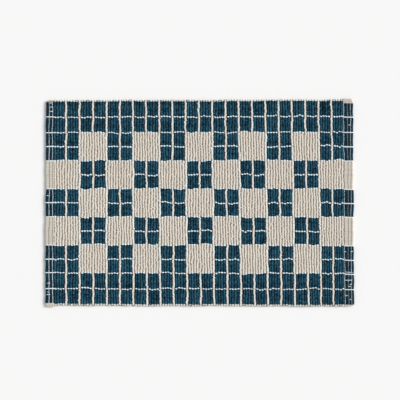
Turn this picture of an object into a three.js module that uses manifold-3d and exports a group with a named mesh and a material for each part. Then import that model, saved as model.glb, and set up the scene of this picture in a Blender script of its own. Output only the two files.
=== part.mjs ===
// Checked cotton bath mat in a two-block rep weave, lying flat. Millimetres, +Z up.
// X runs along the warp (the long side), Y along the ribs (the short side), Z through the cloth.
// The origin is the middle of the mat, on the surface it lies on.
//
// A thick filler weft runs to and fro along Y, and each of its passes makes one rib. Over and under it lie
// the warp ends, in fourteen rows of squares. Each row has a band of blue ends and a band of ecru ends: one
// lies on the face and the other on the back, and they change places wherever the check changes colour.
// A pair of white ends runs between two rows. The two cut ends of the cloth are folded under and sewn.
import * as THREE from "three";
import { mergeVertices } from "three/addons/utils/BufferGeometryUtils.js";
import Module from "manifold-3d";

const wasm = await Module();
wasm.setup();

// ---- Driving dimensions -----------------------------------------------------------------------------
const ribPitch = 7.8; // from one pass of the filler weft to the next
const ribsPerSquare = 4; // blue ribs in one square
const lineRibs = 1; // ecru ribs between two squares
const squareColumns = 22; // squares along X
const squaresPerBlock = 2; // squares each way in one block of the check

const borderSquare = 45.5; // Y pitch of the squares in the plain blue borders
const middleSquare = 41.3; // Y pitch of the squares in the checked middle
const borderRows = 2; // rows of squares in each border
const middleRows = 10; // rows of squares between the borders

const warpThickness = 1.4; // one layer of warp ends, on the face or on the back
const fillerHeight = 3.6; // the filler weft, measured through the cloth
const pickGap = 2.4; // clear space between two passes of the filler weft
const whiteEndWidth = 2.6; // a pair of white ends between two rows
const selvedgeWidth = 5; // the bundle of ends along each long edge

const hemWidthLeft = 21.5;
const hemWidthRight = 28.3;
const hemBend = 3; // outside radius of the fold along the mat's end
const foldGap = 0.35; // between two folded layers of a hem
const threadWidth = 1; // a hem's sewing thread
const threadHeight = 0.7;
const seamsLeft = [7.6, 17.4]; // from the mat's end to each seam
const seamsRight = [8.2, 18.4];

const clearance = 0.3; // between touching pieces

// ---- Sizes that follow ------------------------------------------------------------------------------
const ribCount = squareColumns * ribsPerSquare + (squareColumns - 1) * lineRibs;
const fieldLength = ribCount * ribPitch;
const matLength = hemWidthLeft + fieldLength + hemWidthRight;
const fieldStart = -matLength / 2 + hemWidthLeft;
const fieldEnd = fieldStart + fieldLength;
const rowCount = 2 * borderRows + middleRows;
const matWidth = 2 * borderRows * borderSquare + middleRows * middleSquare + 2 * selvedgeWidth;
const fillerWidth = ribPitch - pickGap;
const fillerBottom = warpThickness + clearance;
const faceBottom = fillerBottom + fillerHeight + clearance;
const matThickness = faceBottom + warpThickness;
const levels = { face: [faceBottom, matThickness], back: [0, warpThickness] };
const crossing = pickGap / 2; // thickness of a band where it passes between two passes of the filler

// ---- Materials --------------------------------------------------------------------------------------
const cotton = (color) => new THREE.MeshStandardMaterial({ color, roughness: 0.95, metalness: 0 });
const blueCotton = cotton(0x22465a);
const ecruCotton = cotton(0xc8bfb0);
const whiteCotton = cotton(0xdfe6e6);
const fillerCotton = cotton(0xd2c8b6);
const hemCloth = cotton(0x4a6470);
const sewingThread = cotton(0x8d979b);

// ---- Shape helpers ----------------------------------------------------------------------------------
const mat = new THREE.Group();
const pad2 = (n) => String(n).padStart(2, "0");

function add(name, geometry, material) {
  const mesh = new THREE.Mesh(geometry, material);
  mesh.name = name;
  mat.add(mesh);
  return mesh;
}

// Each corner goes straight to its own numbers, so that boxes which share a face share it exactly.
function boxGeometry(x, y, z) {
  const box = new THREE.BoxGeometry(1, 1, 1);
  const corners = box.attributes.position;
  for (let i = 0; i < corners.count; i++) {
    const sides = [corners.getX(i), corners.getY(i), corners.getZ(i)].map((at) => (at < 0 ? 0 : 1));
    corners.setXYZ(i, x[sides[0]], y[sides[1]], z[sides[2]]);
  }
  return box;
}

// A shape drawn in X and Z, made solid from y0 to y1.
function alongY(shape, [y0, y1]) {
  const options = { depth: y1 - y0, bevelEnabled: false, curveSegments: 4 };
  return new THREE.ExtrudeGeometry(shape, options).rotateX(Math.PI / 2).translate(0, y1, 0);
}

function toSolid(geometry) {
  const bare = geometry.clone();
  bare.deleteAttribute("normal");
  bare.deleteAttribute("uv");
  const merged = mergeVertices(bare, 1e-4);
  const vertProperties = merged.attributes.position.array;
  const triVerts = new Uint32Array(merged.index.array);
  return new wasm.Manifold(new wasm.Mesh({ numProp: 3, vertProperties, triVerts }));
}

function joined(geometries) {
  const [first, ...others] = geometries.map(toSolid);
  const whole = others.reduce((sum, solid) => sum.add(solid), first).asOriginal().simplify();
  const { vertProperties, triVerts } = whole.getMesh();
  const geometry = new THREE.BufferGeometry();
  geometry.setAttribute("position", new THREE.BufferAttribute(vertProperties, 3));
  return geometry.setIndex(new THREE.BufferAttribute(triVerts, 1));
}

// ---- Where things lie -------------------------------------------------------------------------------
// Row 1 is along the +Y edge. rowEdges[k] is the line between rows k and k + 1, counted from that edge.
const rowEdges = [matWidth / 2 - selvedgeWidth];
for (let row = 1; row <= rowCount; row++) {
  const inBorder = row <= borderRows || row > rowCount - borderRows;
  rowEdges.push(rowEdges[row - 1] - (inBorder ? borderSquare : middleSquare));
}

// The Y span of a row's bands, between the white ends (or the selvedge) on either side of it.
function rowSpan(row) {
  const nearWhite = whiteEndWidth / 2 + clearance;
  const high = rowEdges[row - 1] - (row === 1 ? clearance : nearWhite);
  const low = rowEdges[row] + (row === rowCount ? clearance : nearWhite);
  return [low, high];
}

const blockRow = (row) => Math.floor((row - 1) / squaresPerBlock);
const blockRows = rowCount / squaresPerBlock;
const blockColumns = squareColumns / squaresPerBlock;

// True where the blue ends lie on the face. The first and last rows of blocks are blue all along.
function blueOnFace(row, column) {
  const block = blockRow(row);
  return block === 0 || block === blockRows - 1 || (block + column) % 2 === 1;
}

// The space between two passes of the filler in which the bands change places, after block column c.
// The ecru rib between the two blocks is part of the ecru block.
function crossingAfter(row, c) {
  const ribs = (c + 1) * squaresPerBlock * (ribsPerSquare + lineRibs);
  const lineIsRight = blueOnFace(row, c);
  return fieldStart + (lineIsRight ? ribs - lineRibs : ribs) * ribPitch;
}

// ---- Warp bands -------------------------------------------------------------------------------------
// A band lies on one level along each block, full width, and passes between two ribs to the other level in
// its own half of the row's width. The blue band has the +Y half there and the ecru band the -Y half.
function warpBand(row, isBlue) {
  const [low, high] = rowSpan(row);
  const middle = (low + high) / 2;
  const half = isBlue ? [middle + clearance / 2, high] : [low, middle - clearance / 2];
  const levelAt = (column) => (blueOnFace(row, column) === isBlue ? levels.face : levels.back);
  const parts = [];
  let start = fieldStart + clearance;
  for (let column = 0; column < blockColumns; column++) {
    const last = column === blockColumns - 1;
    if (!last && blueOnFace(row, column) === blueOnFace(row, column + 1)) continue;
    const x = last ? fieldEnd : crossingAfter(row, column);
    const end = last ? fieldEnd - clearance : x - crossing / 2 - clearance;
    parts.push(boxGeometry([start, end], [low, high], levelAt(column)));
    if (last) break;
    const [near, far] = [x - crossing / 2, x + crossing / 2];
    start = far + clearance;
    parts.push(boxGeometry([end - crossing, far], half, levelAt(column)));
    parts.push(boxGeometry([near, far], half, [levels.back[0], levels.face[1]]));
    parts.push(boxGeometry([near, start + crossing], half, levelAt(column + 1)));
  }
  return parts.length === 1 ? parts[0] : joined(parts);
}

for (let row = 1; row <= rowCount; row++) {
  add(`blue_warp_${pad2(row)}`, warpBand(row, true), blueCotton);
  add(`ecru_warp_${pad2(row)}`, warpBand(row, false), ecruCotton);
}

// ---- White ends and selvedges -----------------------------------------------------------------------
// One loop of ends round the whole filler weft: a strip on the face, a strip on the back, and both joined
// beyond the first and the last rib.
function endLoop(span) {
  const wall = pickGap / 2 - 2 * clearance;
  const [x0, x1] = [fieldStart + clearance, fieldEnd - clearance];
  const loop = new THREE.Shape();
  loop.moveTo(x0, 0).lineTo(x1, 0).lineTo(x1, matThickness).lineTo(x0, matThickness).closePath();
  const inside = new THREE.Path();
  inside.moveTo(x0 + wall, warpThickness).lineTo(x1 - wall, warpThickness);
  inside.lineTo(x1 - wall, faceBottom).lineTo(x0 + wall, faceBottom).closePath();
  loop.holes.push(inside);
  return alongY(loop, span);
}

for (let line = 1; line < rowCount; line++) {
  const span = [rowEdges[line] - whiteEndWidth / 2, rowEdges[line] + whiteEndWidth / 2];
  add(`white_ends_${pad2(line)}`, endLoop(span), whiteCotton);
}
add("selvedge_back", endLoop([matWidth / 2 - selvedgeWidth, matWidth / 2]), ecruCotton);
add("selvedge_front", endLoop([-matWidth / 2, -matWidth / 2 + selvedgeWidth]), ecruCotton);

// ---- Filler weft ------------------------------------------------------------------------------------
// One thick yarn to and fro: each pass crosses the mat and turns inside the selvedge into the next.
function fillerWeft() {
  const reach = matWidth / 2 - clearance; // the outside of a turn
  const inner = reach - fillerWidth; // the inside of a turn
  const corner = fillerWidth / 3;
  const left = (pass) => fieldStart + pass * ribPitch + pickGap / 2;
  const right = (pass) => left(pass) + fillerWidth;
  const outline = [];
  // There along the left side of the yarn, then back along its right side.
  for (let pass = 0; pass < ribCount; pass++) {
    const up = pass % 2 === 0;
    const turned = pass > 0;
    const joins = pass < ribCount - 1;
    const startY = up ? (turned ? -inner : -reach) : turned ? inner : reach;
    if (up) {
      outline.push([left(pass), startY]);
      if (joins) outline.push([left(pass), reach - corner], [left(pass) + corner, reach]);
      else outline.push([left(pass), reach]);
    } else {
      outline.push([right(pass) - corner, reach], [right(pass), reach - corner]);
      outline.push([right(pass), joins ? -inner : -reach]);
    }
  }
  for (let pass = ribCount - 1; pass >= 0; pass--) {
    const up = pass % 2 === 0;
    if (up) {
      const joins = pass < ribCount - 1;
      outline.push([right(pass), joins ? inner : reach]);
      if (pass > 0) outline.push([right(pass), -reach + corner], [right(pass) - corner, -reach]);
      else outline.push([right(pass), -reach]);
    } else {
      const joins = pass < ribCount - 1;
      if (joins) outline.push([left(pass) + corner, -reach], [left(pass), -reach + corner]);
      else outline.push([left(pass), -reach]);
      outline.push([left(pass), inner]);
    }
  }
  const shape = new THREE.Shape(outline.map(([x, y]) => new THREE.Vector2(x, y)));
  const yarn = new THREE.ExtrudeGeometry(shape, { depth: fillerHeight, bevelEnabled: false });
  return yarn.translate(0, 0, fillerBottom);
}
add("filler_weft", fillerWeft(), fillerCotton);

// ---- Hems -------------------------------------------------------------------------------------------
// Three layers of the cloth's thin end: the top layer bends under along the mat's end, runs back to the
// field, and its raw edge is tucked in between. A seam lies in a shallow groove, above and below.
function hemShape(width, seams) {
  const layer = (matThickness - 2 * foldGap) / 3;
  const grooveHalf = threadWidth / 2 + clearance;
  const grooveDepth = threadHeight + clearance;
  const inner = clearance;
  const shape = new THREE.Shape();
  // Drawn with the field at x = 0 and the mat's end at x = width.
  const places = seams.map((fromEnd) => width - fromEnd).sort((a, b) => a - b);
  shape.moveTo(inner, matThickness);
  for (const x of places) {
    shape.lineTo(x - grooveHalf, matThickness).lineTo(x - grooveHalf, matThickness - grooveDepth);
    shape.lineTo(x + grooveHalf, matThickness - grooveDepth).lineTo(x + grooveHalf, matThickness);
  }
  shape.lineTo(width - hemBend, matThickness);
  shape.absarc(width - hemBend, matThickness - hemBend, hemBend, Math.PI / 2, 0, true);
  shape.lineTo(width, hemBend);
  shape.absarc(width - hemBend, hemBend, hemBend, 0, -Math.PI / 2, true);
  for (const x of places.reverse()) {
    shape.lineTo(x + grooveHalf, 0).lineTo(x + grooveHalf, grooveDepth);
    shape.lineTo(x - grooveHalf, grooveDepth).lineTo(x - grooveHalf, 0);
  }
  shape.lineTo(inner, 0).lineTo(inner, 2 * layer + foldGap);
  shape.lineTo(width - layer - foldGap, 2 * layer + foldGap);
  shape.lineTo(width - layer - foldGap, layer + foldGap);
  shape.lineTo(inner + layer, layer + foldGap).lineTo(inner + layer, layer);
  shape.lineTo(width - layer, layer).lineTo(width - layer, 2 * (layer + foldGap));
  shape.lineTo(inner, 2 * (layer + foldGap)).closePath();
  return shape;
}

function addHem(side, width, seams) {
  const toRight = side === "right";
  const hem = alongY(hemShape(width, seams), [-matWidth / 2, matWidth / 2]);
  const mesh = add(`hem_${side}`, hem, hemCloth);
  mesh.rotation.z = toRight ? 0 : Math.PI; // a half turn makes the same profile face the left end
  mesh.position.x = toRight ? fieldEnd : fieldStart;
  seams.forEach((fromEnd, index) => {
    const x = toRight ? matLength / 2 - fromEnd : -matLength / 2 + fromEnd;
    const across = [x - threadWidth / 2, x + threadWidth / 2];
    const along = [-matWidth / 2 + clearance, matWidth / 2 - clearance];
    const place = index === 0 ? "outer" : "inner";
    const top = [matThickness - threadHeight, matThickness];
    add(`needle_thread_${side}_${place}`, boxGeometry(across, along, top), sewingThread);
    add(`bobbin_thread_${side}_${place}`, boxGeometry(across, along, [0, threadHeight]), sewingThread);
  });
}
addHem("left", hemWidthLeft, seamsLeft);
addHem("right", hemWidthRight, seamsRight);

export default mat;
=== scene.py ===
"""Bath mat in a two-block rep weave, lying flat: every warp end is a yarn of its own.

X runs along the warp, Y along the ribs, Z up. Metres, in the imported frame's own coordinates.
Blue and ecru ends lie over and under thick passes of filler weft, which make the ribs, and they
change places wherever the check changes colour. Both short ends are folded under and sewn.
"""

import math

import bpy
import numpy as np
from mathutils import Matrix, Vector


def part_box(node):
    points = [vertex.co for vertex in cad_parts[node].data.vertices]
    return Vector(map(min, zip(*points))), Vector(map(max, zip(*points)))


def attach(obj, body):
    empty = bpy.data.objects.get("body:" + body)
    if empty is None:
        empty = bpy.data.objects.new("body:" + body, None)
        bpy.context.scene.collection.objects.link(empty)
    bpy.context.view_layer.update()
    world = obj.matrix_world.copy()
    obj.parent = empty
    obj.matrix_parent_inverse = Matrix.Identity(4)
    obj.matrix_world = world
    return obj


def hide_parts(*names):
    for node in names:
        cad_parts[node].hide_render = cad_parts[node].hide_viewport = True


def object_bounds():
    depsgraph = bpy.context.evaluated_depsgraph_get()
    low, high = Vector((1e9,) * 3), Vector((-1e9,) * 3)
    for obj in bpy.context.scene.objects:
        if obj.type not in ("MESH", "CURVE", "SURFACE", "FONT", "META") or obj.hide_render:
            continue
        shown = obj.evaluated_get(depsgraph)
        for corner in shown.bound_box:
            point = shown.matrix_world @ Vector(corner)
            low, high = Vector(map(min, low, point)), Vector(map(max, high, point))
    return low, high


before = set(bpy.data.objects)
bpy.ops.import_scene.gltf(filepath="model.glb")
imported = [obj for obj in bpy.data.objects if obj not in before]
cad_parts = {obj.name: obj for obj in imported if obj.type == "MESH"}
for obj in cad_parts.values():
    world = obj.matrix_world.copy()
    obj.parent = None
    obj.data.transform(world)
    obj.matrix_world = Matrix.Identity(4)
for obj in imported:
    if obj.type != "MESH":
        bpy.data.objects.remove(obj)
cad_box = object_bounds()

MM = 0.001

# ---- The check ----------------------------------------------------------------------------------
ROWS = 14
SQUARE_COLUMNS = 22
RIBS_PER_SQUARE = 4
LINE_RIBS = 1
SQUARES_PER_BLOCK = 2
STRIDE = RIBS_PER_SQUARE + LINE_RIBS
RIBS = SQUARE_COLUMNS * STRIDE - LINE_RIBS
CLEARANCE = 0.3 * MM  # between touching CAD solids

# ---- Yarns --------------------------------------------------------------------------------------
END_PITCH = 4.0 * MM  # wanted width of one warp end
STEPS = 6  # stations along one rib
GROOVE_RISE = 0.80 * MM  # how far from mid-thickness an end stays between two ribs

# ---- Places from the frame ----------------------------------------------------------------------
low, high = cad_box
MAT_X = (low.x, high.x)
MAT_Y = (low.y, high.y)
TOP = high.z
MIDDLE = (low.z + high.z) / 2
band_low, band_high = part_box("blue_warp_01")
FIELD = (band_low.x - CLEARANCE, band_high.x + CLEARANCE)
PITCH = (FIELD[1] - FIELD[0]) / RIBS
LAYER = 1.4 * MM  # one layer of warp ends
CREST = MIDDLE - LAYER / 2  # from mid-thickness to the middle of an end on a crest
WHITE_Y = [
    sum(corner.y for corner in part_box(f"white_ends_{line:02d}")) / 2 for line in range(1, ROWS)
]
BACK_SELVEDGE_INSET = 0.2 * MM  # how far row 01 reaches over the selvedge at the back


def row_span(row):
    """The Y span that a row's ends fill."""
    lower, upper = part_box(f"blue_warp_{row:02d}")
    inset = BACK_SELVEDGE_INSET if row == 1 else 0.0
    return lower.y - CLEARANCE / 2, upper.y + CLEARANCE / 2 + inset


def row_ends(row):
    """The Y of each end in a row, and the pitch between them."""
    lower, upper = row_span(row)
    count = round((upper - lower) / END_PITCH)
    pitch = (upper - lower) / count
    return lower + (np.arange(count) + 0.5) * pitch, pitch


def blue_on_face(row, rib):
    """True where a row's blue ends lie on the face over this rib."""
    block = (row - 1) // SQUARES_PER_BLOCK
    column = rib // STRIDE // SQUARES_PER_BLOCK
    border = block in (0, ROWS // SQUARES_PER_BLOCK - 1)
    on_line = rib % STRIDE >= RIBS_PER_SQUARE
    return not on_line and (border or (block + column) % 2 == 1)


# ---- Unevenness of the hand-woven cloth ---------------------------------------------------------
WAVES_X = {"seed": 11, "lengths": (0.031, 0.047, 0.083, 0.131), "size": 1.5 * MM}
WAVES_Y = {"seed": 12, "lengths": (0.027, 0.039, 0.094, 0.2), "size": 1.6 * MM}
CORNER_ROUND = 9 * MM  # how far from a corner its rounding starts
CORNER_IN = (2.6 * MM, 1.6 * MM)  # how far it draws the corner in, along X and along Y
LEAN_BUMP = 3.2 * MM  # the ribs' drift to the right along the back edge, left of the middle
LEAN_BACK = 1.0 * MM  # and their drift to the left towards that edge's right end
LEAN_FRONT = 9.0 * MM  # the drift along the front edge, where it grows towards the right
LEAN_FRONT_START = 1.5 * MM  # what that drift grows from, near the left end
LEAN_FRONT_RIGHT = 8.0 * MM  # how much of it goes again towards the right end
LEAN_FRONT_LEFT = 3.5 * MM  # how much less it is at the left end
TWIST = 1.3 * MM  # the rows' rise or fall at the mat's corners
HEM_STEP = 2.4 * MM  # how far the rows step to the front as they enter the right hem
HEM_STEP_HALF = 6 * MM  # half the length of that step along X
HEM_STEP_EDGE = 20 * MM  # how far from the long edges it fades


def waves(x, y, seed, lengths, size):
    """A smooth uneven field, as the sum of a few waves of these lengths."""
    rng = np.random.default_rng(seed)
    total = np.zeros(np.broadcast(x, y).shape)
    for length in lengths:
        turn, phase = rng.uniform(0, 2 * np.pi, 2)
        total += np.sin(2 * np.pi * (x * np.cos(turn) + y * np.sin(turn)) / length + phase)
    return size * total / len(lengths)


def ramp(x, start, end):
    """0 before start, 1 after end and smooth in between."""
    t = np.clip((x - start) / (end - start), 0, 1)
    return t * t * (3 - 2 * t)


def lean(x, share):
    """How far the ribs drift along X: share is 0 along the back edge and 1 along the front."""
    half = MAT_X[1]
    back = LEAN_BUMP * np.exp(-(((x + 0.6 * half) / (0.3 * half)) ** 2))
    back -= LEAN_BACK * ramp(x, 0.2 * half, half)
    front = LEAN_FRONT_START + LEAN_FRONT * np.clip((x + 0.95 * half) / (1.73 * half), 0, 1)
    front -= LEAN_FRONT_RIGHT * ramp(x, 0.69 * half, 0.98 * half)
    front -= LEAN_FRONT_LEFT * (1 - ramp(x, -half, -0.945 * half))
    return (1 - share) * back + share * front


def uneven(points):
    """Moves the points of a piece by the cloth's unevenness, which is the same for all pieces."""
    x, y = points[..., 0].copy(), points[..., 1].copy()
    half_x, half_y = MAT_X[1], MAT_Y[1]
    dx = waves(x, y, **WAVES_X)
    dx += lean(x, np.clip(0.5 - y / (2 * half_y), 0, 1))
    dy = waves(x, y, **WAVES_Y)
    dy += TWIST * (x / half_x) * (y / half_y)
    into_hem = ramp(x, FIELD[1] - HEM_STEP_HALF, FIELD[1] + HEM_STEP_HALF)
    dy -= HEM_STEP * into_hem * ramp(-np.abs(y), -half_y, HEM_STEP_EDGE - half_y)
    # The corners are a little rounded.
    near_end = np.clip((np.abs(x) - half_x + CORNER_ROUND) / CORNER_ROUND, 0, None)
    near_side = np.clip((np.abs(y) - half_y + CORNER_ROUND) / CORNER_ROUND, 0, None)
    rounding = np.minimum(near_end * near_side, 1.5)
    dx -= np.sign(x) * rounding * CORNER_IN[0]
    dy -= np.sign(y) * rounding * CORNER_IN[1]
    points[..., 0] = x + dx
    points[..., 1] = y + dy
    points[..., 2] = np.maximum(points[..., 2], 0.0)
    return points


# ---- Yarn meshes --------------------------------------------------------------------------------
# The corners of a yarn's section, as shares of its width and of its height.
SECTION = np.array([(-0.5, -0.2), (0, -0.5), (0.5, -0.2), (0.5, 0.2), (0, 0.5), (-0.5, 0.2)])


def spread(values, shape):
    """The values repeated to fill this shape."""
    return np.broadcast_to(np.asarray(values, float), shape)


# What a yarn's material reads at each point: how pale the yarn is, how much painted shade it takes
# on (most where it lies low between two ribs), where its plies turn, and how white it is.
LOOKS = {"tint": 0.5, "sink": 0.0, "ply": 0.0, "bleach": 0.0}


class Strands:
    """Yarns of one piece: each batch has n yarns of m stations."""

    def __init__(self):
        self.batches = []

    def add(self, centre, width, height, normal=(0, 0, 1), side=(0, 1, 0), **look):
        """Yarns whose centre lines have the shape (n, m, 3). The rest fits that shape."""
        shape = centre.shape[:2]
        across = spread(side, centre.shape)[:, :, None, :]
        out = spread(normal, centre.shape)[:, :, None, :]
        section = look.pop("section", SECTION)
        a = section[:, 0] * spread(width, shape)[:, :, None]
        b = section[:, 1] * spread(height, shape)[:, :, None]
        ring = centre[:, :, None, :] + across * a[..., None] + out * b[..., None]
        facts = {key: spread(look.get(key, default), shape) for key, default in LOOKS.items()}
        perimeter = 2 * float(np.mean(spread(width, shape)) + np.mean(spread(height, shape)))
        steps = np.linalg.norm(np.diff(centre[0], axis=0), axis=1)
        self.batches.append((ring, facts, look.get("material", 0), perimeter, float(steps.sum())))

    def mesh(self, name):
        layout = bake_layout(self.batches)
        parts = [batch_arrays(batch, rows) for batch, rows in zip(self.batches, layout)]
        return mesh_of(name, parts)


BAKE_MARGIN = 0.006  # left free at both sides of the bake's map, where the yarns' caps lie
BAKE_GAP = 0.08  # left free between two rows of it, as a share of a row


def bake_layout(batches):
    """For each batch, how many pieces a yarn is cut in on the bake's map, and its rows there."""
    area = sum(ring.shape[0] * around * length for ring, _, _, around, length in batches)
    scale = 1 / math.sqrt(area)
    cuts = [max(1, round(length * scale)) for *_, length in batches]
    heights = [b[0].shape[0] * cut * b[3] for b, cut in zip(batches, cuts)]
    total, start, layout = sum(heights), 0.0, []
    for height, cut in zip(heights, cuts):
        layout.append((cut, start / total, (start + height) / total))
        start += height
    return layout


def batch_arrays(batch, rows):
    """Vertices, quads, caps and the bake's map of one batch of yarns."""
    ring, facts, material, _, _ = batch
    cut, v_low, v_high = rows
    n, m, k, _ = ring.shape
    index = np.arange(n * m * k).reshape(n, m, k)
    after = np.roll(index, -1, axis=2)
    quads = np.stack([index[:, :-1], after[:, :-1], after[:, 1:], index[:, 1:]], -1).reshape(-1, 4)
    caps = np.concatenate([index[:, 0, ::-1], index[:, -1, :]])
    # Each yarn's cuts lie in rows one above another, parted by a gap that is a share of a row.
    yarn, station, side = np.meshgrid(np.arange(n), np.arange(m - 1), np.arange(k), indexing="ij")
    span = math.ceil((m - 1) / cut)
    row = yarn * cut + station // span
    place = station % span
    margin, gap = BAKE_MARGIN, BAKE_GAP
    row_height = (v_high - v_low) / (n * cut)
    u0 = margin + (1 - 2 * margin) * place / span
    u1 = margin + (1 - 2 * margin) * (place + 1) / span
    v0 = v_low + (row + gap + (1 - 2 * gap) * side / k) * row_height
    v1 = v_low + (row + gap + (1 - 2 * gap) * (side + 1) / k) * row_height
    quad_uv = np.stack([u0, v0, u0, v1, u1, v1, u1, v0], -1).reshape(-1, 2)
    turn = 2 * np.pi * np.arange(k) / k
    dot = np.stack([np.cos(turn), np.sin(turn)], -1) * min(0.35 * row_height, margin / 3)
    first = np.stack([np.full(n, margin / 2), v_low + (np.arange(n) * cut + 0.5) * row_height], -1)
    last = first + (1 - margin, 0)
    cap_uv = np.concatenate([first[:, None] + dot[::-1], last[:, None] + dot]).reshape(-1, 2)
    values = {key: np.repeat(fact.reshape(-1), k) for key, fact in facts.items()}
    return ring.reshape(-1, 3), quads, caps, quad_uv, cap_uv, values, material


def mesh_of(name, parts):
    """One mesh of all the parts, with smooth faces, the bake's map and the yarn attributes."""
    verts, loops, sizes, uvs, materials, shift = [], [], [], [], [], 0
    for points, quads, caps, quad_uv, cap_uv, _, material in parts:
        verts.append(points)
        loops += [(quads + shift).ravel(), (caps + shift).ravel()]
        sizes += [np.full(len(quads), 4), np.full(len(caps), caps.shape[1])]
        uvs += [quad_uv, cap_uv]
        materials.append(np.full(len(quads) + len(caps), material))
        shift += len(points)
    verts = uneven(np.concatenate(verts))
    loops, sizes = np.concatenate(loops), np.concatenate(sizes)
    mesh = bpy.data.meshes.new(name)
    mesh.vertices.add(len(verts))
    mesh.vertices.foreach_set("co", verts.astype(np.float32).ravel())
    mesh.loops.add(len(loops))
    mesh.loops.foreach_set("vertex_index", loops.astype(np.int32))
    mesh.polygons.add(len(sizes))
    mesh.polygons.foreach_set("loop_start", (np.cumsum(sizes) - sizes).astype(np.int32))
    mesh.polygons.foreach_set("material_index", np.concatenate(materials).astype(np.int32))
    mesh.polygons.foreach_set("use_smooth", np.ones(len(sizes), bool))
    layer = mesh.uv_layers.new(name="OFBake", do_init=False)
    layer.uv.foreach_set("vector", np.concatenate(uvs).astype(np.float32).ravel())
    for key in LOOKS:
        values = np.concatenate([part[5][key] for part in parts])
        mesh.attributes.new(key, "FLOAT", "POINT").data.foreach_set(
            "value", values.astype(np.float32)
        )
    mesh.update(calc_edges=True)
    return mesh


def piece(name, strands, materials, slot, *nodes):
    """A shown piece made of yarns, which stands for these CAD nodes."""
    obj = bpy.data.objects.new(name, strands.mesh(name))
    bpy.context.scene.collection.objects.link(obj)
    for material in materials:
        obj.data.materials.append(material)
    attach(obj, "root")
    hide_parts(*nodes)
    return obj


# ---- Materials ----------------------------------------------------------------------------------
def linear(*srgb):
    """A colour given as it looks on screen, 0 to 255, in the numbers that shaders take."""
    parts = [c / 255 for c in srgb]
    return tuple(c / 12.92 if c <= 0.04045 else ((c + 0.055) / 1.055) ** 2.4 for c in parts) + (1,)


class Nodes:
    """Shorthand for one material's node tree."""

    def __init__(self, name):
        self.material = bpy.data.materials.new(name)
        self.material.use_nodes = True
        self.tree = self.material.node_tree
        self.shader = self.tree.nodes["Principled BSDF"]

    def put(self, value, socket):
        """Links a socket's value, or sets a number or a colour."""
        if isinstance(value, bpy.types.NodeSocket):
            self.tree.links.new(value, socket)
        else:
            socket.default_value = value

    def attribute(self, name):
        node = self.tree.nodes.new("ShaderNodeAttribute")
        node.attribute_name = name
        return node.outputs["Fac"]

    def place(self):
        return self.tree.nodes.new("ShaderNodeTexCoord").outputs["Object"]

    def math(self, operation, a, b=0.0):
        node = self.tree.nodes.new("ShaderNodeMath")
        node.operation = operation
        self.put(a, node.inputs[0])
        self.put(b, node.inputs[1])
        return node.outputs[0]

    def scaled(self, vector, scale):
        node = self.tree.nodes.new("ShaderNodeMapping")
        node.inputs["Scale"].default_value = scale
        self.put(vector, node.inputs["Vector"])
        return node.outputs[0]

    def noise(self, vector, scale, detail=2.0):
        node = self.tree.nodes.new("ShaderNodeTexNoise")
        node.inputs["Scale"].default_value = scale
        node.inputs["Detail"].default_value = detail
        self.put(vector, node.inputs["Vector"])
        return node.outputs["Fac"]

    def remap(self, value, low_in, high_in, low_out, high_out):
        node = self.tree.nodes.new("ShaderNodeMapRange")
        self.put(value, node.inputs["Value"])
        for key, number in zip(
            ("From Min", "From Max", "To Min", "To Max"), (low_in, high_in, low_out, high_out)
        ):
            self.put(number, node.inputs[key])
        return node.outputs[0]

    def mix(self, factor, a, b):
        node = self.tree.nodes.new("ShaderNodeMix")
        node.data_type = "RGBA"
        self.put(factor, node.inputs["Factor"])
        self.put(a, node.inputs[6])
        self.put(b, node.inputs[7])
        return node.outputs[2]

    def bump(self, height, distance, strength):
        node = self.tree.nodes.new("ShaderNodeBump")
        node.inputs["Distance"].default_value = distance
        node.inputs["Strength"].default_value = strength
        self.put(height, node.inputs["Height"])
        return node.outputs["Normal"]


PLY_SLANT = 0.8  # how steeply the plies turn across the yarn
SHADE_BESIDE_BLUE = linear(22, 46, 60)  # painted shade colour in the grooves of pale ends that lie among blue ones


def twist(n, lead):
    """0 to 1 across each ply of a twisted yarn: slanting turns, `lead` apart along the yarn."""
    axes = n.tree.nodes.new("ShaderNodeSeparateXYZ")
    n.put(n.place(), axes.inputs[0])
    slant = n.math("ADD", axes.outputs["X"], n.math("MULTIPLY", axes.outputs["Y"], PLY_SLANT))
    slant = n.math("ADD", slant, n.math("MULTIPLY", axes.outputs["Z"], PLY_SLANT))
    turns = n.math("ADD", n.math("MULTIPLY", slant, 1 / lead), n.attribute("ply"))
    return n.remap(n.math("SINE", n.math("MULTIPLY", turns, 2 * math.pi)), -1, 1, 0, 1)


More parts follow.
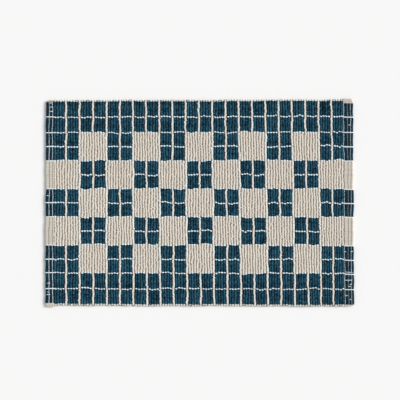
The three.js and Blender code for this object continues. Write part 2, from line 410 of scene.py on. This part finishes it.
def cotton(name, shade_colour, plain, pale, lead=1.7 * MM, sheen=0.1, bleached=None, dark=0.92):
    """Spun cotton: `shade_colour` is painted shade in the grooves, and from `plain` to `pale` by yarn
    and by fibre. `lead` is the length of one turn of its plies, `bleached` the colour of its whitest
    ends, and `dark` the share of painted shade at the bottom of a groove."""
    n = Nodes(name)
    spot = n.place()
    ply = twist(n, lead)
    fibre = n.noise(n.scaled(spot, (1.0, 2.6, 2.6)), 1100, 3)
    slub = n.noise(spot, 130, 2)
    cloud = n.noise(spot, 24, 2)
    # The tone varies most from yarn to yarn, and less by slub, by fibre and across the cloth.
    tone = n.math("MULTIPLY", n.attribute("tint"), 0.55)
    for value, share in ((slub, 0.35), (fibre, 0.30), (cloud, 0.25)):
        tone = n.math("ADD", tone, n.math("MULTIPLY", value, share))
    colour = n.mix(n.remap(tone, 0.3, 1.1, 0, 1), plain, pale)
    if bleached:
        colour = n.mix(n.attribute("bleach"), colour, bleached)
        # Bleached ends lie beside blue ones, and the painted shade in their grooves takes on their
        # blue.
        alone = n.remap(n.attribute("bleach"), 0, 0.1, 0, 1)
        shade_colour = n.mix(alone, shade_colour, SHADE_BESIDE_BLUE)
    # Painted shade: the grooves between two plies, and then those between two ribs, take on the shade
    # colour.
    shade = n.remap(ply, 0, 1, 0.80, 1.0)
    colour = n.mix(n.math("SUBTRACT", 1.0, shade), colour, shade_colour)
    colour = n.mix(n.remap(n.attribute("sink"), 0.1, 0.95, 0.0, dark), colour, shade_colour)
    n.put(colour, n.shader.inputs["Base Color"])
    n.put(n.remap(fibre, 0.25, 0.75, 0.84, 0.98), n.shader.inputs["Roughness"])
    relief = n.math("ADD", n.math("MULTIPLY", ply, 0.8), n.math("MULTIPLY", fibre, 0.5))
    n.put(n.bump(relief, 0.25 * MM, 0.6), n.shader.inputs["Normal"])
    n.shader.inputs["Sheen Weight"].default_value = sheen
    n.shader.inputs["Sheen Roughness"].default_value = 0.55
    n.shader.inputs["Specular IOR Level"].default_value = 0.03
    return n.material


BLUE = cotton("blue_yarn", linear(0, 1, 4), linear(0, 27, 43), linear(56, 107, 130), sheen=0.01,
              dark=0.98)
ECRU = cotton("ecru_yarn", linear(90, 80, 67), linear(212, 203, 191), linear(232, 224, 212),
              bleached=linear(236, 241, 238))
WHITE = cotton("white_yarn", linear(60, 80, 92), linear(206, 222, 229), linear(252, 255, 255))
MIXED = cotton("mixed_yarn", linear(50, 78, 92), linear(112, 142, 154), linear(236, 243, 243))
ROVING = cotton("filler_roving", linear(30, 32, 34), linear(196, 182, 162), linear(222, 210, 194),
                lead=4 * MM)
THREAD = cotton("stitch_thread", linear(60, 70, 76), linear(128, 142, 150), linear(176, 190, 196),
                lead=0.6 * MM)


# ---- Warp ends ----------------------------------------------------------------------------------
def stations():
    """For each station along the field: its X, its rib, the groove it leans to and how high it is."""
    j = np.arange(RIBS * STEPS + 1)
    rib = np.minimum(j // STEPS, RIBS - 1)
    phase = (j - rib * STEPS) / STEPS
    groove = np.where(phase < 0.5, rib, rib + 1)
    lift = np.sqrt(np.clip(1 - (2 * phase - 1) ** 2, 0, 1))
    return FIELD[0] + j * PITCH / STEPS, rib, phase, groove, lift


def groove_levels(up):
    """How far from mid-thickness the ends lie in each groove, and 1 where they change sides."""
    state = np.where(up, 1.0, -1.0)
    left = np.concatenate([state[:1], state])
    right = np.concatenate([state, state[-1:]])
    return (left + right) / 2 * GROOVE_RISE, (left != right).astype(float)


BEAD_SLANT = 1.1 * MM  # how far an end shifts along Y while it passes over one rib
BEAD_STRAY = 0.75 * MM  # how far its crest strays along X
CREST_PRESS = 0.18 * MM  # how much the crests are trodden down
MOST_PRESS = 0.5 * MM
CREST_FAT = (1.10, 0.07)  # an end's width on a crest as a share of its room: usual and spread
LEAST_FAT = 1.04
GROOVE_SLIM = 0.84  # the same share in a groove
SWAP_SLIMMER = 0.36  # and how much less it is where the end changes sides
END_TINTS, RIB_TINTS, CREST_TINTS = 0.10, 0.12, 0.22  # how much tints vary by end, rib and crest
WHITE_BOW = 1.3 * MM  # how far a white line bows along Y between two ecru ribs
WHITE_STRAY = 0.9 * MM  # and how far each of its beads strays


def white_wander(line):
    """For each rib, how far a white line strays along Y: it bows between two ecru ribs, and each
    bead strays a little."""
    rng = np.random.default_rng(6000 + line)
    rib = np.arange(RIBS)
    bow = rng.normal(0, WHITE_BOW, SQUARE_COLUMNS)[rib // STRIDE]
    bow = bow * np.sin(np.pi * (rib % STRIDE + 0.5) / RIBS_PER_SQUARE)
    return bow + rng.normal(0, WHITE_STRAY, RIBS)


def row_bounds(row, up):
    """For each rib, the Y span of a row's ends: they close up to the next row wherever the white
    ends are on the other side of the cloth."""
    lower, upper = row_span(row)
    lows, highs = np.full(RIBS, lower), np.full(RIBS, upper)
    for rib in range(RIBS):
        if row < ROWS and white_up(row, rib) != up[rib]:
            lows[rib] = WHITE_Y[row - 1]
        if row > 1 and white_up(row - 1, rib) != up[rib]:
            highs[rib] = WHITE_Y[row - 2]
    if row < ROWS:
        lows += white_wander(row)
    if row > 1:
        highs += white_wander(row - 1)
    return lows, highs


def band(strands, count, bounds, up, half, seed, bleach=0.0, edge=0.7, specks=0.0,
         stray=0.15 * MM, groove_shade=0.7):
    """Warp ends side by side in bounds, which go over the ribs in `up` and under the others. Where
    they change sides they keep to one half of their room: `half` is 1 for the +Y half. `edge` is
    how much more painted shade they take on there, `specks` the share of crests that lie in the
    dark, `stray` how far a crest strays along Y, and a lower `groove_shade` makes the grooves'
    painted shade reach higher."""
    rng = np.random.default_rng(seed)
    x, rib, phase, groove, lift = stations()
    level, swap = groove_levels(up)
    state = np.where(up, 1.0, -1.0)
    shape = (count, RIBS)
    press = np.minimum(np.abs(rng.normal(0, CREST_PRESS, shape)), MOST_PRESS)
    crest = state * (CREST - press)
    z = MIDDLE + level[groove] + (crest[:, rib] - level[groove]) * lift
    pitch = (bounds[1] - bounds[0]) / count
    home = bounds[0] + (np.arange(count)[:, None] + 0.5) * pitch
    joint = np.concatenate([home[:, :1], home, home[:, -1:]], 1)
    joint = (joint[:, :-1] + joint[:, 1:]) / 2
    room = np.concatenate([pitch[:1], pitch])
    home = home + rng.normal(0, stray, shape)
    y = joint[:, groove] + (home[:, rib] - joint[:, groove]) * lift
    y = y + half * 0.25 * room[groove] * swap[groove] * (1 - lift)
    y = y + BEAD_SLANT * (phase - 0.5) * lift
    fat = np.clip(rng.normal(*CREST_FAT, shape), LEAST_FAT, None)[:, rib]
    x = x + rng.normal(0, BEAD_STRAY, shape)[:, rib] * lift
    slim = GROOVE_SLIM - SWAP_SLIMMER * swap[groove]
    width = pitch[rib] * (slim + (fat - slim) * lift)
    centre = np.stack([x, y, z], -1)
    tint = rng.normal(0.5, END_TINTS, (count, 1)) + rng.normal(0, RIB_TINTS, (1, RIBS))
    tint = tint + rng.normal(0, CREST_TINTS, shape)
    # Painted shade: darkest at the bottom of each groove, and more or less by `edge` where the ends
    # change sides.
    sink = (1 - lift) ** groove_shade * (1 + spread(edge, (RIBS,))[rib] * swap[groove])
    dim = np.where(rng.uniform(0, 1, shape) < specks, rng.uniform(0.2, 0.6, shape), 0)
    sink = np.clip(sink + dim[:, rib], 0, 1)
    strands.add(centre, width, LAYER, tint=np.clip(tint, 0, 1)[:, rib], sink=sink,
                ply=rng.uniform(0, 1, (count, 1)), bleach=np.asarray(bleach)[..., rib])


# What band() takes for each colour: how far the grooves' painted shade reaches up, and how much
# more painted shade the ends take on where they change sides. Beside a blue square the ecru ends
# are painted paler there, and less dark on a rib that stands alone.
GROOVE_SHADE = {"blue": 0.5, "ecru": 0.7}
BLUE_SWAP_SHADE, SINGLE_SWAP_SHADE, ECRU_SWAP_SHADE = 0.7, 0.5, -0.2
WHITENESS = (0.1, 1.0)  # of the ecru ends on ribs beside blue ones
LEAST_WHITE = 0.12  # and of a row's first and last end there, beside the white lines


def make_bands():
    """Both colours' ends of every row."""
    made = {}
    on_line = np.arange(RIBS) % STRIDE >= RIBS_PER_SQUARE
    for row in range(1, ROWS + 1):
        count = len(row_ends(row)[0])
        blue_up = np.array([blue_on_face(row, rib) for rib in range(RIBS)])
        for colour, up, half, material in (
            ("blue", blue_up, 1, BLUE),
            ("ecru", ~blue_up, -1, ECRU),
        ):
            strands = Strands()
            # The single ecru ribs between two columns are whiter beside blue ones.
            beside = on_line & (colour == "ecru")
            single = beside & np.roll(blue_up, 1) & np.roll(blue_up, -1)
            beside &= np.roll(blue_up, 1) | np.roll(blue_up, -1)
            # How much more painted shade the ends take on where they change sides.
            edge = BLUE_SWAP_SHADE if colour == "blue" else np.where(single, SINGLE_SWAP_SHADE, ECRU_SWAP_SHADE)
            rng = np.random.default_rng(300 + row)
            white = rng.uniform(*WHITENESS, (count, RIBS))
            white[[0, -1]] = LEAST_WHITE
            bleach = np.where(beside, white, 0.0)
            band(strands, count, row_bounds(row, up), up, half, 100 * row + (half > 0),
                 bleach=bleach, edge=edge, groove_shade=GROOVE_SHADE[colour])
            name, node = f"{colour}_warp_yarns_{row:02d}", f"{colour}_warp_{row:02d}"
            made[node] = piece(name, strands, [material], f"{colour}_cotton", node)
    return made


# ---- White ends and selvedges -------------------------------------------------------------------
WHITE_WIDTH = 1.8 * MM
WHITE_SPACING = 1.35 * MM
WHITE_SLANT = 2.8 * MM  # how far the pair shifts along Y while it passes over one rib
SLANT_SHARES = (0.2, 1.3)  # least and most of that
GROOVE_WIDTH = 0.5  # a white end's width in a groove, as a share of WHITE_WIDTH
CREST_WIDER = (0.3, 0.75)  # and how much wider it is on a crest, least and most


def white_up(line, rib):
    """True where the white ends under row `line` lie on the face: beside any blue square."""
    return blue_on_face(line, rib) or blue_on_face(line + 1, rib)


def white_batch(strands, line, seed):
    """Two white ends side by side; they slant one way over each rib, as twined ends do."""
    rng = np.random.default_rng(seed)
    x, rib, phase, groove, lift = stations()
    up = np.array([white_up(line, r) for r in range(RIBS)])
    level, _ = groove_levels(up)
    crest = np.where(up, 1.0, -1.0) * (CREST - np.abs(rng.normal(0, 0.08 * MM, RIBS)))
    z = MIDDLE + level[groove] + (crest[rib] - level[groove]) * lift
    slant = WHITE_SLANT * rng.uniform(*SLANT_SHARES, RIBS)[rib] * (0.5 - phase) * lift
    wander = white_wander(line)
    between = (np.concatenate([wander[:1], wander]) + np.concatenate([wander, wander[-1:]])) / 2
    wander = between[groove] + (wander[rib] - between[groove]) * lift
    y = WHITE_Y[line - 1] + slant + wander + np.array([[-0.5], [0.5]]) * WHITE_SPACING
    tint = np.clip(rng.normal(0.55, 0.35, (2, RIBS)), 0, 1)[:, rib]
    wider = rng.uniform(*CREST_WIDER, (2, RIBS))[:, rib]
    width = WHITE_WIDTH * (GROOVE_WIDTH + wider * lift)
    centre = np.stack([spread(x, y.shape), y, spread(z, y.shape)], -1)
    # Painted shade in the grooves between two ribs.
    strands.add(centre, width, LAYER, tint=tint, sink=spread((1 - lift), y.shape),
                ply=np.array([[0.2], [0.7]]))


def make_white_ends():
    """The pair of white ends between every two rows."""
    made = {}
    for line in range(1, ROWS):
        strands = Strands()
        white_batch(strands, line, 5000 + line)
        node = f"white_ends_{line:02d}"
        made[node] = piece(f"white_yarns_{line:02d}", strands, [WHITE], "white_cotton", node)
    return made


SELVEDGE_END = 2.0 * MM  # width of one selvedge end
SELVEDGE_GAP = 0.9 * MM  # left outside them for the filler's turns


def selvedge_ends(node):
    """The Y bounds of a selvedge's ends, and how many there are."""
    lower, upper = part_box(node)
    if lower.y > 0:
        bounds = (lower.y + BACK_SELVEDGE_INSET, upper.y - SELVEDGE_GAP)
    else:
        bounds = (lower.y + SELVEDGE_GAP, upper.y)
    return bounds, max(1, round((bounds[1] - bounds[0]) / SELVEDGE_END))


def make_selvedge(node, name, seed):
    """Ecru ends over and under every rib along one long edge."""
    (start, stop), count = selvedge_ends(node)
    bounds = (np.full(RIBS, start), np.full(RIBS, stop))
    strands = Strands()
    always = np.ones(RIBS, bool)
    rng = np.random.default_rng(seed)
    # The back edge is the whiter one, with fewer dark specks.
    whitest, specks = ((0.5, 1.0), 0.2) if start > 0 else ((0.12, 0.7), 0.3)
    for up in (always, ~always):
        bleach = rng.uniform(*whitest, (count, RIBS))
        band(strands, count, bounds, up, 0, int(rng.integers(1000)), bleach=bleach,
             specks=specks, stray=0.5 * MM)
    return piece(name, strands, [ECRU], "ecru_cotton", node)


# ---- Filler weft --------------------------------------------------------------------------------
FILLER_SIZE = (5.4 * MM, 3.6 * MM)
LOOP_REACH = 0.5 * MM  # how far its turns stand out past the selvedge
PASS_POINTS = 40  # along one pass
TURN_POINTS = 8  # round one turn, with the ends of the passes
FILLER_CORNERS = 8  # round its section
COVERED = (6 * MM, 1 * MM)  # how far from its turns the warp covers it wholly and not at all, which sets its painted shade


def make_filler():
    """One thick roving to and fro, a pass in every rib, with a round turn at each side."""
    rng = np.random.default_rng(77)
    half_width = MAT_Y[1] + LOOP_REACH - FILLER_SIZE[0] / 2
    radius = PITCH / 2
    edge = half_width - radius
    straight = np.linspace(-1, 1, PASS_POINTS) * edge
    turn = np.linspace(0, np.pi, TURN_POINTS)[1:-1]
    points = []
    for rib in range(RIBS):
        x = FIELD[0] + (rib + 0.5) * PITCH
        way = 1 if rib % 2 == 0 else -1
        points += [(x, way * y) for y in straight]
        if rib < RIBS - 1:
            points += [
                (x + radius * (1 - math.cos(t)), way * (edge + radius * math.sin(t))) for t in turn
            ]
    line = np.array(points)
    centre = np.column_stack([line, np.full(len(line), MIDDLE)])[None]
    along = np.gradient(line, axis=0)
    along /= np.linalg.norm(along, axis=1)[:, None]
    side = np.column_stack([-along[:, 1], along[:, 0], np.zeros(len(line))])
    angle = 2 * np.pi * (np.arange(FILLER_CORNERS) + 0.5) / FILLER_CORNERS - np.pi / 2
    section = np.stack([np.cos(angle), np.sin(angle)], -1) * 0.52
    fat = 1 + 0.05 * rng.normal(size=(1, len(line)))
    # Painted shade: it is dark wherever the warp covers it.
    inside = 1 - ramp(np.abs(line[:, 1]), half_width - COVERED[0], half_width - COVERED[1])
    strands = Strands()
    strands.add(centre, FILLER_SIZE[0] * fat, FILLER_SIZE[1] * np.ones_like(fat), side=side[None],
                section=section, tint=np.clip(rng.normal(0.5, 0.2, (1, len(line))), 0, 1),
                sink=inside[None], ply=0.0)
    return piece("filler_roving", strands, [ROVING], "filler_cotton", "filler_weft")


# ---- Hems ---------------------------------------------------------------------------------------
HEM_LAYER = 1.25 * MM  # thickness of one layer of the folded cloth
PICK_WAVE = 0.30 * MM  # how much its ends rise over each thin pick
HEMS = {
    # side: outward sign, thin picks, and how bright the pale ends are on each pick that has them,
    # counted from the mat's end; this sets their tone and how little painted shade they take on.
    "left": (-1, 10, {4: 0.7, 8: 1.0}),
    "right": (1, 13, {3: 0.55, 7: 0.2, 12: 0.9}),
}
FOLD_STEPS = 6  # stations round the fold, with its two ends
HEM_START = (0.35 * MM, 0.6 * MM)  # where it leaves the field: how far along, and how high
PICK_STEPS = 3  # stations to one pick on top
HIDDEN_STEPS = 2  # and underneath
FOLD_INNER = 1.6 * MM  # how far from the field the cloth turns in again underneath
FOLD_STOP = 1.0 * MM  # how far inside the fold the turned-in end stops
HEM_WHITE = 1.35 * MM  # width of one white end there
BULGE = 0.9 * MM  # how far the soft fold stands out past the hem's nominal end
FLOAT_SIZE = (0.84, 0.95 * MM)  # a pale float's length in thin picks, and its height
FLOAT_DEPTH = 1.5 * MM  # how far under the top its two ends lie
FLOAT_RISE = 1.0 * MM  # and how much its middle rises above them
RUNG_SIZE = (1.7 * MM, 1.0 * MM)  # width and height of a longer pale end
RUNG_DEPTH = 1.0 * MM  # how far under the top its two ends lie
RUNG_RISE = 0.9 * MM  # and how much its middle rises above them
RUNG_STEPS = 9  # stations along it
FLOAT_STEPS = 4
ON_TOP, ROUND_END, UNDERNEATH, TUCKED_IN = range(4)  # parts of the fold
HEM_BLUE, HEM_ECRU, HEM_PALE, HEM_MIXED = range(4)  # slots of the hem's materials


def hem_path(width, picks):
    """Distance from the field, height, the direction away from the cloth, and which part of the
    fold each station is in."""
    top = TOP - HEM_LAYER / 2 - PICK_WAVE / 2
    bottom = HEM_LAYER / 2 + PICK_WAVE / 2
    bend = (top - bottom) / 2
    reach = width - bend - HEM_LAYER / 2
    on_top = np.linspace(HEM_START[0], reach, picks * PICK_STEPS + 1)
    d = [0.0, *on_top]
    z = [MIDDLE + HEM_START[1]] + [top] * len(on_top)
    part = [ON_TOP] * len(d)
    for t in np.linspace(0, np.pi, FOLD_STEPS)[1:-1]:
        d.append(reach + bend * math.sin(t))
        z.append(MIDDLE + bend * math.cos(t))
        part.append(ROUND_END)
    back = np.linspace(reach, FOLD_INNER, picks * HIDDEN_STEPS + 1)
    d += list(back)
    z += [bottom] * len(back)
    part += [UNDERNEATH] * len(back)
    tuck = (MIDDLE - bottom) / 2
    for t in (math.pi / 4, math.pi / 2, 3 * math.pi / 4):
        d.append(FOLD_INNER - tuck * math.sin(t) * 0.6)
        z.append((MIDDLE + bottom) / 2 - tuck * math.cos(t))
        part.append(TUCKED_IN)
    inside = np.linspace(FOLD_INNER, reach - FOLD_STOP, 3)
    d += list(inside)
    z += [MIDDLE] * len(inside)
    part += [TUCKED_IN] * len(inside)
    path = np.column_stack([d, z])
    along = np.gradient(path, axis=0)
    along /= np.linalg.norm(along, axis=1)[:, None]
    out = np.column_stack([-along[:, 1], along[:, 0]])
    return path, out, np.array(part)


class Hem:
    """What all yarns of one hem share."""

    def __init__(self, side):
        self.sign, picks, self.lines = HEMS[side]
        lower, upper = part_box(f"hem_{side}")
        self.field = FIELD[0] if self.sign < 0 else FIELD[1]
        end = (lower.x if self.sign < 0 else upper.x) + self.sign * BULGE
        self.width = abs(end - self.field)
        self.pitch = self.width / picks
        self.path, self.out, self.part = hem_path(self.width, picks)
        # Over each thin pick the ends rise a little, and they go down between two picks, where they
        # also take on painted shade.
        self.wave = np.abs(np.sin(np.pi * self.path[:, 0] / self.pitch)) - 0.5
        self.wave[self.part == ROUND_END] = 0.2
        self.wave[self.part == TUCKED_IN] = 0.0
        self.rng = np.random.default_rng(900 + picks)

    def across(self, pick):
        """The distance from the field to this pick, counted from the mat's end."""
        return self.width - pick * self.pitch

    def yarns(self, strands, ys, pitch, material, dip=0.0, rise=0.0, shade=0.0, groove=0.0):
        """Ends from the field over the hem's top, round the fold and back underneath. They `dip`
        under the picks with pale lines, `rise` above the other ends, and take on more painted shade
        by `shade` everywhere and by `groove` on those picks."""
        n = len(ys)
        m = len(self.path)
        lift = self.wave * PICK_WAVE + rise
        on_line = np.zeros(m)
        for line in self.lines:
            near = np.abs(self.path[:, 0] - self.across(line + 0.5)) < 0.5 * self.pitch
            on_line[near & (self.part == ON_TOP)] = 1
        lift = lift - dip * on_line
        d = self.path[:, 0] + self.out[:, 0] * lift
        z = self.path[:, 1] + self.out[:, 1] * lift
        jitter = self.rng.normal(0, 0.10 * MM, (n, m))
        y = np.asarray(ys)[:, None] + jitter
        x = self.field + self.sign * d
        centre = np.stack([spread(x, y.shape), y, spread(z, y.shape)], -1)
        normal = np.stack([self.sign * self.out[:, 0], np.zeros(m), self.out[:, 1]], -1)
        tint = np.clip(self.rng.normal(0.4, 0.15, (n, 1)) + self.rng.normal(0, 0.15, (n, m)), 0, 1)
        # Painted shade: some over the whole hem, more between two picks, and more or less by `shade`
        # and `groove`.
        sink = np.clip(0.75 - self.wave * 0.9 + shade + groove * on_line, 0, 1)
        strands.add(centre, pitch * 1.03, HEM_LAYER, normal=normal[None],
                    side=(0, self.sign, 0), tint=tint, sink=spread(sink, y.shape),
                    ply=self.rng.uniform(0, 1, (n, 1)), material=material)

    def floats(self, strands, ys, pitch, line, material, bright):
        """Short stretches of ecru ends over one thin pick, which make a pale line across."""
        n = len(ys)
        shape = (n, FLOAT_STEPS)
        t = np.linspace(-1, 1, FLOAT_STEPS)
        half = FLOAT_SIZE[0] / 2 * self.pitch
        x = self.field + self.sign * (self.across(line + 0.5) + t * half)
        arch = np.sqrt(np.clip(1 - t**2, 0, 1))
        z = TOP - FLOAT_DEPTH + arch * FLOAT_RISE
        y = np.asarray(ys)[:, None] + self.rng.normal(0, 0.2 * MM, (n, 1))
        size = spread(self.rng.uniform(0.75, 1.0, (n, 1)), shape)
        centre = np.stack([spread(x, shape), spread(y, shape), spread(z, shape)], -1)
        tint = np.clip(self.rng.normal(bright, 0.35, (n, 1)), 0, 1)
        # Painted shade: less on brighter lines and towards the float's raised middle.
        strands.add(centre, pitch * size * 0.95, FLOAT_SIZE[1], side=(0, self.sign, 0), tint=tint,
                    sink=spread(0.75 - 0.6 * bright - 0.1 * arch, shape), ply=0.4,
                    material=material)

    def rung(self, strands, y, first, last, material):
        """A pale end that lies on top of the hem from one pick to another."""
        t = np.linspace(0, 1, RUNG_STEPS)
        start, stop = self.across(last + 0.9), self.across(first + 0.1)
        x = self.field + self.sign * (start + t * (stop - start))
        z = TOP - RUNG_DEPTH + RUNG_RISE * np.sin(np.pi * t) ** 0.4
        centre = np.stack([x, spread(y, t.shape), z], -1)[None]
        # Painted shade, more towards its two ends, where it goes into the cloth.
        strands.add(centre, *RUNG_SIZE, side=(0, self.sign, 0), tint=0.5,
                    sink=(0.1 + 0.2 * np.abs(2 * t - 1))[None], ply=0.1, material=material)


# Pale ends that float on a hem: side, row, where in the row (0 to 1), first and last pick.
RUNGS = [
    ("left", 1, 0.08, 4, 8), ("left", 1, 0.36, 4, 8), ("left", 1, 0.67, 4, 8),
    ("left", 7, 0.5, 1, 3), ("left", 13, 0.7, 2, 5), ("left", 14, 0.21, 2, 4),
    ("left", 14, 0.38, 1, 5), ("right", 2, 0.5, 4, 6), ("right", 11, 0.37, 1, 4),
    ("right", 11, 0.37, 10, 12), ("right", 12, 0.86, 1, 12), ("right", 13, 0.36, 3, 12),
    ("right", 13, 0.66, 3, 5), ("right", 13, 0.8, 4, 7), ("right", 14, 0.35, 9, 11),
    ("right", 14, 0.6, 4, 6),
]

# Selvedge ends that are bunched up at a corner, besides the usual ones: below and above in Y.
CORNER_ENDS = {("right", "selvedge_back"): (3, 1), ("left", "selvedge_front"): (2, 1)}

# How each kind of end runs through a hem: its material and what Hem.yarns takes, whose `shade`
# and `groove` are amounts of painted shade.
BLUE_END = {"material": HEM_BLUE, "dip": 0.7 * MM, "shade": 0.08}
ECRU_END = {"material": HEM_ECRU, "dip": 0.3 * MM, "shade": -0.4, "groove": 0.55}
WHITE_END = {"material": HEM_PALE, "rise": 0.4 * MM, "shade": -0.9}
EDGE_END = {"material": HEM_ECRU, "shade": -0.3}
BUNCHED_END = {**EDGE_END, "rise": 0.25 * MM}


def hem_rows(hem, strands, side, rib):
    """The blue or ecru ends of every row, with the pale lines and ends that float on them."""
    for row in range(1, ROWS + 1):
        ys, pitch = row_ends(row)
        blue = blue_on_face(row, rib)
        hem.yarns(strands, ys, pitch, **(BLUE_END if blue else ECRU_END))
        if blue:
            for line in hem.lines:
                bright = hem.lines[line] + float(hem.rng.uniform(-0.2, 0.2))
                hem.floats(strands, ys, pitch, line, HEM_MIXED, bright)
        lower, upper = row_span(row)
        for rung_side, rung_row, share, first, last in RUNGS:
            if (rung_side, rung_row) == (side, row):
                hem.rung(strands, upper - share * (upper - lower), first, last, HEM_PALE)


def hem_edges(hem, strands, side):
    """The selvedges' ends, which are bunched up at two of the mat's corners."""
    for node in ("selvedge_back", "selvedge_front"):
        (start, stop), count = selvedge_ends(node)
        pitch = (stop - start) / count
        below, above = CORNER_ENDS.get((side, node), (0, 0))
        order = np.arange(-below, count + above)
        kind = BUNCHED_END if below else EDGE_END
        hem.yarns(strands, start + (order + 0.5) * pitch, pitch, **kind)


def make_hem(side):
    """The cloth's own end, with thinner picks, folded under at one short side."""
    hem = Hem(side)
    strands = Strands()
    rib = 0 if side == "left" else RIBS - 1
    hem_rows(hem, strands, side, rib)
    for line, y in enumerate(WHITE_Y, 1):
        ends = y + np.array([-0.5, 0.5]) * HEM_WHITE
        hem.yarns(strands, ends, HEM_WHITE, **(WHITE_END if white_up(line, rib) else ECRU_END))
    hem_edges(hem, strands, side)
    obj = piece(f"hem_cloth_{side}", strands, [BLUE, ECRU, WHITE, MIXED], "hem_cloth", f"hem_{side}")
    return obj, hem


STITCH = 3.2 * MM  # length of one stitch
STITCH_SIZE = (0.9 * MM, 0.7 * MM)  # width and height of its thread
STITCH_SINK = 0.9 * MM  # how deep its ends go into the cloth
STITCH_REST = 0.55 * MM  # from the hem's surface to the middle of the thread
STITCH_STEPS = 6  # stations along one stitch


def make_stitches(node, name):
    """A row of lock stitches: each rises out of its hole, lies along the seam and sinks again."""
    lower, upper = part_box(node)
    rng = np.random.default_rng(int(1e5 * abs(lower.x)) + (lower.z > MIDDLE))
    above = 1 if lower.z > MIDDLE else -1
    count = round((upper.y - lower.y) / STITCH)
    pitch = (upper.y - lower.y) / count
    t = np.linspace(0, 1, STITCH_STEPS)
    y = lower.y + (np.arange(count)[:, None] + 0.04 + 0.92 * t) * pitch
    x = (lower.x + upper.x) / 2 + rng.normal(0, 0.12 * MM, (count, 1)) + 0.25 * MM * (t - 0.5)
    arch = np.sin(np.pi * t) ** 0.5
    rest = TOP - STITCH_REST if above > 0 else STITCH_REST
    z = rest - above * STITCH_SINK * (1 - arch)
    centre = np.stack([x, y, spread(z, y.shape)], -1)
    strands = Strands()
    # A little painted shade all along the thread.
    strands.add(centre, *STITCH_SIZE, side=(-1, 0, 0),
                tint=np.clip(rng.normal(0.5, 0.2, (count, 1)), 0, 1), sink=0.2, ply=0.3)
    return piece(name, strands, [THREAD], "sewing_thread", node)


# ---- Surroundings -------------------------------------------------------------------------------
SENSOR = 36.0
LENS = 85.0
VIEW_WIDTH = 1.1716  # metres across the picture at the mat's face
CAMERA_AT = (1.0 * MM, 8.1 * MM)  # its X and Y, nearly over the mat's middle
FLOOR_HALF = 20.0
FLOOR_DROP = 0.1 * MM  # the floor lies this far under the mat, so that their faces don't meet
FLOOR_GREY = 0.772
WORLD_STRENGTH = 0.60
SUN_ENERGY = 3.75
SUN_ANGLE = 25  # degrees that the soft sun is across
SUN_TURN = (-14, 57, 0)  # degrees about X, Y and Z: from the right and a little from behind


def make_camera():
    """Straight above the mat, far enough that the picture is VIEW_WIDTH wide at its face."""
    data = bpy.data.cameras.new("camera")
    data.lens, data.sensor_width = LENS, SENSOR
    data.dof.use_dof = False
    camera = bpy.data.objects.new("camera", data)
    camera.location = (*CAMERA_AT, TOP + VIEW_WIDTH * LENS / SENSOR)
    bpy.context.scene.collection.objects.link(camera)
    bpy.context.scene.camera = camera


def make_floor():
    """A wide pale floor."""
    half = FLOOR_HALF
    mesh = bpy.data.meshes.new("floor")
    corners = [(-half, -half, 0), (half, -half, 0), (half, half, 0), (-half, half, 0)]
    mesh.from_pydata(corners, [], [(0, 1, 2, 3)])
    floor = bpy.data.objects.new("floor", mesh)
    floor.location.z = -FLOOR_DROP
    bpy.context.scene.collection.objects.link(floor)
    n = Nodes("floor_paint")
    n.shader.inputs["Base Color"].default_value = (FLOOR_GREY, FLOOR_GREY, FLOOR_GREY, 1)
    n.shader.inputs["Roughness"].default_value = 0.9
    n.shader.inputs["Specular IOR Level"].default_value = 0.1
    mesh.materials.append(n.material)


def make_lights():
    """One soft sun and an even sky."""
    scene = bpy.context.scene
    scene.view_settings.view_transform = "Standard"
    scene.view_settings.look = "None"
    world = bpy.data.worlds.new("studio")
    world.use_nodes = True
    background = world.node_tree.nodes["Background"]
    background.inputs["Color"].default_value = (0.97, 0.985, 1.0, 1)
    background.inputs["Strength"].default_value = WORLD_STRENGTH
    scene.world = world
    data = bpy.data.lights.new("key", "SUN")
    data.energy = SUN_ENERGY
    data.angle = math.radians(SUN_ANGLE)
    data.color = (1.0, 0.985, 0.965)
    key = bpy.data.objects.new("key", data)
    key.rotation_euler = [math.radians(turn) for turn in SUN_TURN]
    scene.collection.objects.link(key)


def main():
    make_camera()
    make_floor()
    make_lights()
    bands = make_bands()
    whites = make_white_ends()
    selvedges = [
        make_selvedge("selvedge_back", "selvedge_yarns_back", 71),
        make_selvedge("selvedge_front", "selvedge_yarns_front", 73),
    ]
    filler = make_filler()
    hems = {side: make_hem(side) for side in HEMS}
    stitches = {
        side: [
            make_stitches(f"{thread}_thread_{side}_{place}", f"{thread}_stitches_{side}_{place}")
            for thread in ("needle", "bobbin")
            for place in ("outer", "inner")
        ]
        for side in HEMS
    }


main()
